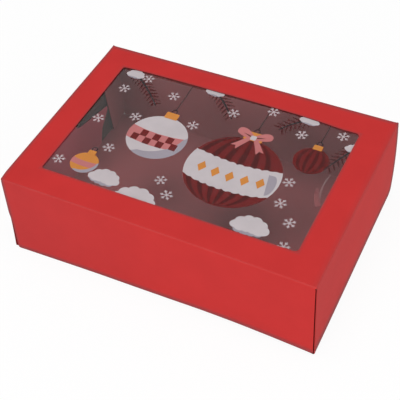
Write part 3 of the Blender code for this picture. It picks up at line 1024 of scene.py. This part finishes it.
NEEDLE_GAP = 3.8
NEEDLE_LENGTH = 7.6
NEEDLE_LEAN = 0.75
TWIGS = (((-93, 63), (-70, 50), (-52, 30)), ((-26, 66), (-9, 56), (5, 38)),
         ((100, 50), (92, 38), (83, 16)), ((66, 64), (48, 54), (40, 41)))
twigs = []
needles = []
snow = []
for start, middle, end in TWIGS:
    line = curve(start, middle, end, round(math.dist(start, end) / NEEDLE_GAP))
    twigs.append(stroke(line, 2.2, 0.9))
    for i, point in enumerate(line[1:-1], start=1):
        run = (line[i + 1] - line[i - 1]).normalized()
        for side in (-1, 1):
            away = (run * NEEDLE_LEAN + Vector((-run.y, run.x)) * side).normalized()
            root = point + away * 1.1
            needles.append(stroke([root, root + away * (NEEDLE_LENGTH - 0.25 * i)], 1.5, 0.6))
    snow.append(((middle[0] + start[0]) / 2, (middle[1] + start[1]) / 2 - 1, 0.72, 1))
snow += [(-50, -49, 1.15, 1), (-22, -58, 1.5, -1), (58, -50, 1.3, -1)]
printed("print_twigs", twigs, black_ink, 1)
printed("print_needles", needles, deep_ink, 2)
printed("print_snow", [tuft(*place) for place in snow], white_ink, 3)
printed("print_snow_shade", [tuft_shade(*place) for place in snow], lilac_ink, 4)

knot = (big[0], big[1] + big[2] + 1.5)
loop_half = curve((0, 1.4), (6, 8.5), (11, 7.4), 6) + curve((11, 7.4), (14.5, 5.4), (12.6, 1.6), 5)[1:]
loop_half += curve((12.6, 1.6), (8, -1.6), (0, -1.2), 6)[1:]
tail_half = [(0, 0), (3.4, 0), (12.5, -11.5), (9.0, -10.8), (7.8, -14.4)]
fold_half = curve((0.5, 0.5), (4, 2.2), (8.4, 2.6), 6) + curve((8.4, 2.6), (4, 0.8), (0.5, -0.4), 6)[1:]
BOW = (("print_bow_tails", tail_half, pink_ink, 6), ("print_bow", loop_half, pink_ink, 7),
       ("print_bow_folds", fold_half, deep_ink, 8))
for name, half, colour, layer in BOW:
    other_half = [(-x, y) for x, y in reversed(half)]
    printed(name, [set_at(half, knot), set_at(other_half, knot)], colour, layer)
KNOT_HALF, KNOT_ROUND = 2.2, 1.3
knot_square = rectangle(
    knot[0] - KNOT_HALF, knot[0] + KNOT_HALF, knot[1] - KNOT_HALF, knot[1] + KNOT_HALF, KNOT_ROUND)
printed("print_bow_knot", [knot_square], white_ink, 9)

ARM = [(0.65, -0.375), (2.3, -0.34), (3.45, -1.24), (4.0, -0.92), (3.3, -0.32), (4.7, -0.28)]
ARM += [(along, -aside) for along, aside in reversed(ARM)]
FLAKES = (
    (-82, 38, 10), (-60, 14, 32), (-84, 2, 5), (-70, 54, 25), (-44, 44, 15), (-18, 22, 40), (4, 44, 8),
    (-88, -46, 20), (-62, -22, 12), (-14, -36, 28), (68, -24, 0), (80, -38, 35), (84, -58, 15),
    (57, 42, 18), (84, 52, 30), (30, 56, 10), (66, -4, 22), (-4, -47, 6),
)
flakes = []
for x, y, tilt in FLAKES:
    outline = []
    for arm in range(6):
        outline += set_at(ARM, (x, y), tilt + 60 * arm)
    flakes.append(outline)
printed("print_snowflakes", flakes, flake_ink, 5)

# Creases in the film near the window's right edge: white strokes along them are painted glints of the
# pinched film.
# The red strokes in the widest dent are a painted reflection of the red card.
painted_crease_glints = ink("painted_crease_glints", (0.55, 0.44, 0.44), 0.11, 0.5)
painted_red_reflection = ink("painted_red_reflection", (0.54, 0.19, 0.20), 0.08, 0.5)
creases = [
    stroke(curve((88.9, 13), (87.4, 2), (88.4, -3.5)), 0.7, 1.3),
    stroke(curve((88.4, -4.5), (89.0, -8), (91.0, -10.5)), 1.0, 0.5),
]
printed("film_crease_glints", creases, painted_crease_glints, 8)
printed("film_dent_reflection", [stroke(curve((85.2, -2), (86.8, -10), (92.0, -17)), 2.0, 5.0)], painted_red_reflection, 6)
printed("film_dent_reflection_middle", [stroke(curve((86.0, -7), (87.4, -12), (91.8, -17)), 1.0, 2.8)], painted_red_reflection, 7)

# Studio: a pale floor that keeps the shadow, an even white surround and three soft lamps.
# The camera stands where the photograph was taken from, above the front right corner.
FLOOR_RADIUS = 4.0
FLOOR_Z = -0.3 * MM
FLOOR_SHOWN = 0.92
SURROUND_LIGHT = 0.5
WHITE = (1.0, 1.0, 1.0, 1.0)
AZIMUTH = math.radians(27.90)
ELEVATION = math.radians(46.42)
ROLL = math.radians(-3.21)
DISTANCE = 0.693
TARGET = Vector((0.00009, -0.00786, 0.0276))
LENS = 86.87


def seen_directly(tree):
    """One for the rays of the camera, of mirrors and of clear pieces, zero for the light itself."""
    path = add(tree, "ShaderNodeLightPath")
    mirrored = add(tree, "ShaderNodeMath", {
        0: path.outputs["Is Camera Ray"], 1: path.outputs["Is Glossy Ray"]}, operation="MAXIMUM")
    return add(tree, "ShaderNodeMath", {
        0: mirrored.outputs[0], 1: path.outputs["Is Transmission Ray"]}, operation="MAXIMUM").outputs[0]


def make_lamp(name, place, size, watts):
    lamp = bpy.data.lights.new(name, "AREA")
    lamp.shape = "DISK"
    lamp.size = size
    lamp.energy = watts
    made = new_object(name, lamp)
    made.location = place
    made.rotation_euler = (-Vector(place)).to_track_quat("-Z", "Y").to_euler()


circle = bmesh.new()
bmesh.ops.create_circle(circle, cap_ends=True, segments=96, radius=FLOOR_RADIUS)
floor_mesh = bpy.data.meshes.new("floor")
circle.to_mesh(floor_mesh)
circle.free()
floor = new_object("floor", floor_mesh)
floor.location.z = FLOOR_Z
paint, floor_tree, matt = new_material("pale_floor")
feed(floor_tree, matt, {"Base Color": (0.95, 0.95, 0.95, 1.0), "Roughness": 0.9})
shown = add(floor_tree, "ShaderNodeMath", {
    0: seen_directly(floor_tree), 1: FLOOR_SHOWN}, operation="MULTIPLY")
glow = add(floor_tree, "ShaderNodeEmission", {"Color": WHITE, "Strength": 1.0})
mixed = add(floor_tree, "ShaderNodeMixShader", {
    0: shown.outputs[0], 1: matt.outputs[0], 2: glow.outputs[0]})
feed(floor_tree, floor_tree.nodes["Material Output"], {"Surface": mixed.outputs[0]})
floor_mesh.materials.append(paint)

surround = bpy.data.worlds.new("surround")
bpy.context.scene.world = surround
surround.use_nodes = True
world_tree = surround.node_tree
level = add(world_tree, "ShaderNodeMapRange", {
    "Value": seen_directly(world_tree), "To Min": SURROUND_LIGHT, "To Max": 1.0})
feed(world_tree, world_tree.nodes["Background"], {"Color": WHITE, "Strength": level.outputs["Result"]})
make_lamp("front_lamp", (-0.25, -1.60, 0.75), 0.9, 8.6)
make_lamp("right_lamp", (1.45, -0.35, 0.80), 0.9, 4.8)
make_lamp("top_lamp", (0.0, -0.20, 1.50), 1.0, 7.6)

camera = new_object("camera", bpy.data.cameras.new("camera"))
camera.data.lens = LENS
back = Vector((math.sin(AZIMUTH) * math.cos(ELEVATION), -math.cos(AZIMUTH) * math.cos(ELEVATION),
               math.sin(ELEVATION)))
sideways = Vector((0, 0, 1)).cross(back).normalized()
upright = back.cross(sideways)
right = sideways * math.cos(ROLL) + upright * math.sin(ROLL)
up = upright * math.cos(ROLL) - sideways * math.sin(ROLL)
axes = Matrix((right, up, back)).transposed().to_4x4()
camera.matrix_world = Matrix.Translation(TARGET + back * DISTANCE) @ axes
bpy.context.scene.camera = camera
bpy.context.scene.view_settings.view_transform = "Standard"
